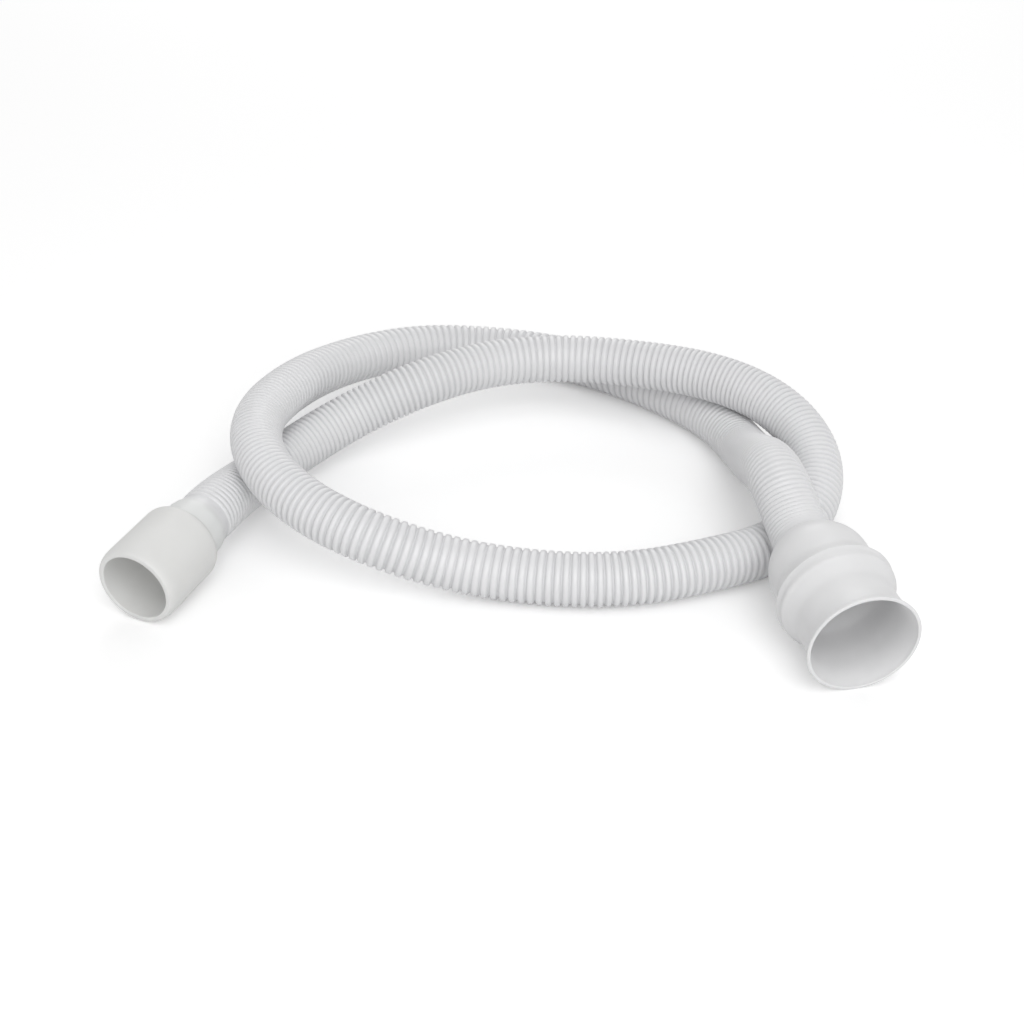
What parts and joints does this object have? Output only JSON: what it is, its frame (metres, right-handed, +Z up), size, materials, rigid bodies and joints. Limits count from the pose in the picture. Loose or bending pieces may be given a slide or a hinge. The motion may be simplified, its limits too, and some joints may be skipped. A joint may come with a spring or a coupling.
{
  "type": "flexible hose",
  "caption": "Corrugated flexible hose lying in a loose overhand knot, with a plain straight cuff on one end and a flared, waisted cuff on the other.",
  "frame": {"origin": "centre of the part's outline on the floor that it lies on", "axes": "+Z up; +X runs across the knot from the straight cuff's side to the flared cuff's side; both mouths face roughly -Y, towards the viewer"},
  "size_m": [0.3707, 0.3342, 0.0579],
  "materials": {
    "hose_plastic": "satin cool light grey",
    "straight_cuff_rubber": "satin warm light grey",
    "flared_cuff_rubber": "satin light grey"
  },
  "bodies": {
    "root": {"corrugated_hose": "hose_plastic", "straight_cuff": "straight_cuff_rubber", "flared_cuff": "flared_cuff_rubber"}
  },
  "joints": []
}
